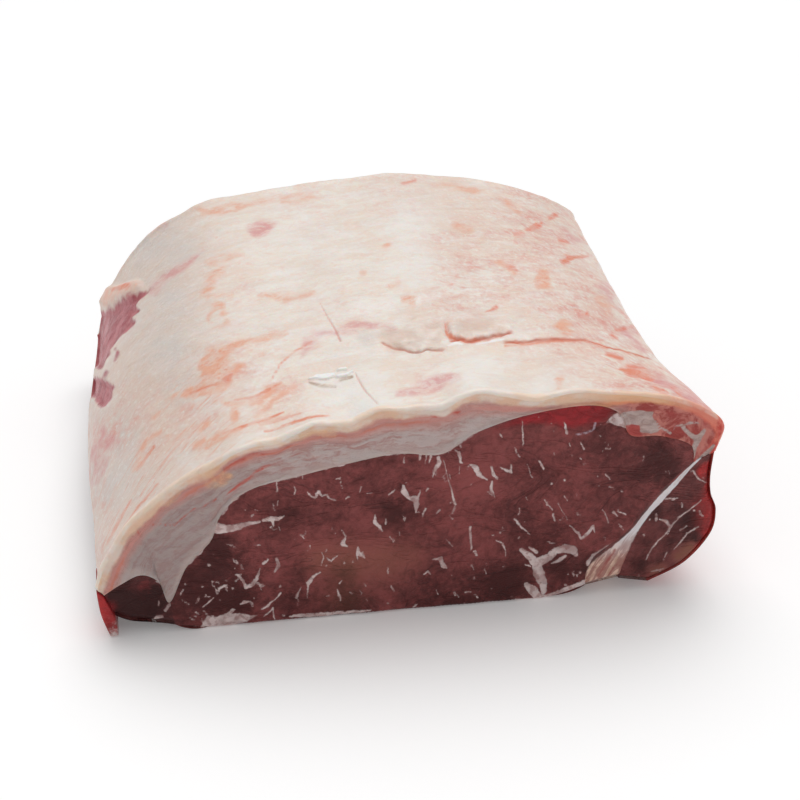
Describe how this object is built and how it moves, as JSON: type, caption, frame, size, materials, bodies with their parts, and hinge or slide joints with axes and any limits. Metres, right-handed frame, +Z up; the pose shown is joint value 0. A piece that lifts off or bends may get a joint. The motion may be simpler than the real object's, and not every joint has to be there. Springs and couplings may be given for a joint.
{
  "type": "raw beef striploin joint",
  "caption": "Raw boneless beef joint with a straight cut face: a large dark lean eye, a small side muscle behind a diagonal seam, and a thick cream fat cap over the top and left.",
  "frame": {"origin": "on the table, under the middle of the joint's box", "axes": "+X to the right along the cut face, +Y from the cut face into the joint, +Z up from the lean underside to the fat cap"},
  "size_m": [0.2301, 0.23, 0.0931],
  "materials": {
    "fat": "moist satin",
    "lean": "moist",
    "seam": "moist silverskin",
    "red_lean": "wet"
  },
  "bodies": {
    "root": {"fat_cap": "fat", "eye_lean": "lean", "tail_lean": "lean", "seam_fat": "seam", "side_lean": "lean", "corner_flap": "red_lean"}
  },
  "joints": []
}
